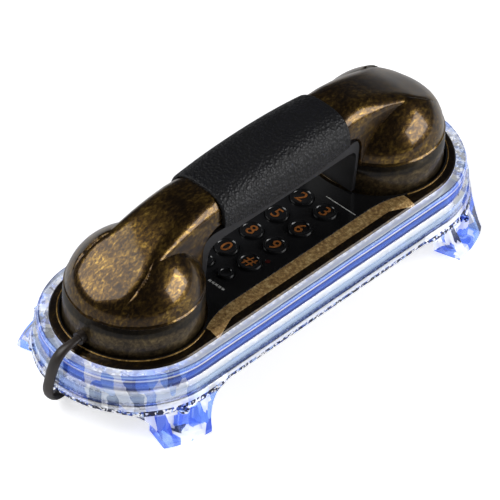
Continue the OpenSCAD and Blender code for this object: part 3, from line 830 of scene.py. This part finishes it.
# The sawn lower edge sparkles: 0.9 mm flecks of black and white
flecks = add_node(acrylic, "TexVoronoi", {"Vector": spot, "Scale": 1100.0})
fleck_tone = add_node(acrylic, "SeparateColor", {0: flecks.outputs["Color"]}).outputs[0]
fleck_colour = add_node(acrylic, "ValToRGB", {"Fac": fleck_tone},
                        stops=[(0.0, "#060818"), (0.45, "#243c90"), (0.6, "#ffffff"),
                               (0.85, "#a0b8e8")])
fleck_colour.color_ramp.interpolation = "CONSTANT"
edge_low = add_node(acrylic, "Math", {0: axes.outputs[2], 1: 0.0152},
                    operation="LESS_THAN").outputs[0]
edge_high = add_node(acrylic, "Math", {0: axes.outputs[2], 1: 0.0132},
                     operation="GREATER_THAN").outputs[0]
sawn = add_node(acrylic, "Math", {0: edge_low, 1: edge_high}, operation="MULTIPLY").outputs[0]
wall = add_node(acrylic, "Mix", {0: sawn, 6: painted_refraction.outputs[2], 7: fleck_colour.outputs[0]},
                data_type="RGBA")
# The wall also glows faintly in its painted colours, so the drawn light stays bright; it is no lamp
surface(acrylic, Base_Color=wall.outputs[2], Roughness=0.02, IOR=1.49, Transmission_Weight=0.7,
        Emission_Color=wall.outputs[2], Emission_Strength=0.26)
frame["nodes"]["clear_housing"].data.materials.clear()
frame["nodes"]["clear_housing"].data.materials.append(acrylic)
print(acrylic.name, len(acrylic.node_tree.nodes), "nodes")

# %% [markdown]
# ## Everything inside
# The inner parts keep their CAD shapes. Each gets the finish of its real material: a fibreglass
# board, moulded switches, silicone, steel. One recipe covers them: two close tones mixed by a
# grain of a real size, with a matching bump.

# %% Inner finishes
def plain_finish(name, tones, grain_mm, roughness, metallic=0.0, ior=1.5, clear=0.0, bump=0.2):
    finish = new_material(name)
    spot = add_node(finish, "TexCoord").outputs["Object"]
    fine = add_node(finish, "TexNoise", {"Vector": spot, "Scale": 1000.0 / grain_mm,
                                         "Detail": 3.0}).outputs["Fac"]
    colour = add_node(finish, "ValToRGB", {"Fac": fine}, stops=[(0.32, tones[0]), (0.68, tones[1])])
    raised = add_node(finish, "Bump", {"Height": fine, "Strength": bump, "Distance": 0.0001})
    return surface(finish, Base_Color=colour.outputs[0], Metallic=metallic, Roughness=roughness,
                   IOR=ior, Transmission_Weight=clear, Normal=raised.outputs[0])


finishes = {
    "circuit_board": plain_finish("green_fibreglass", ("#174a2a", "#23643a"), 1.2, 0.35),
    "dark_parts": plain_finish("moulded_phenolic", ("#1c1c1e", "#29292c"), 0.5, 0.5),
    "silicone": plain_finish("white_silicone_rubber", ("#c9c9c4", "#dcdcd8"), 0.8, 0.6),
    "red_light": plain_finish("red_diffusing_acrylic", ("#3a1512", "#5a1d18"), 0.6, 0.25,
                              clear=0.3),
    "speaker_metal": plain_finish("pressed_steel", ("#4a4a4d", "#64646a"), 0.7, 0.4, metallic=1.0),
    "white_plastic": plain_finish("white_acetal", ("#d6d6d0", "#e6e6e2"), 0.6, 0.4),
    "blue_light": plain_finish("blue_diffusing_acrylic", ("#2f55d0", "#5b86ff"), 0.8, 0.25,
                               clear=0.2),
    "steel": plain_finish("zinc_plated_steel", ("#8e9094", "#a8aab0"), 0.6, 0.3, metallic=1.0),
    "clear_rubber": plain_finish("clear_polyurethane", ("#c8d6e8", "#e2ecf6"), 0.9, 0.3, clear=0.5),
    "clear_plug": plain_finish("clear_polycarbonate", ("#cfd6de", "#e6ebf0"), 1.0, 0.12, ior=1.58,
                               clear=0.6),
    "black_plastic": satin_abs,
    "bronze_paint": dark_bronze,
    "cord_rubber": soft_pvc,
}
standing_in = {n for piece in bpy.data.objects for n in piece.get("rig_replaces", [])}
for row in frame["record"]["subparts"]:
    if row["node"] not in standing_in and row["material_slot"] in finishes:
        mesh = frame["nodes"][row["node"]].data
        mesh.materials.clear()
        mesh.materials.append(finishes[row["material_slot"]])
        print(row["node"], "gets", finishes[row["material_slot"]].name)
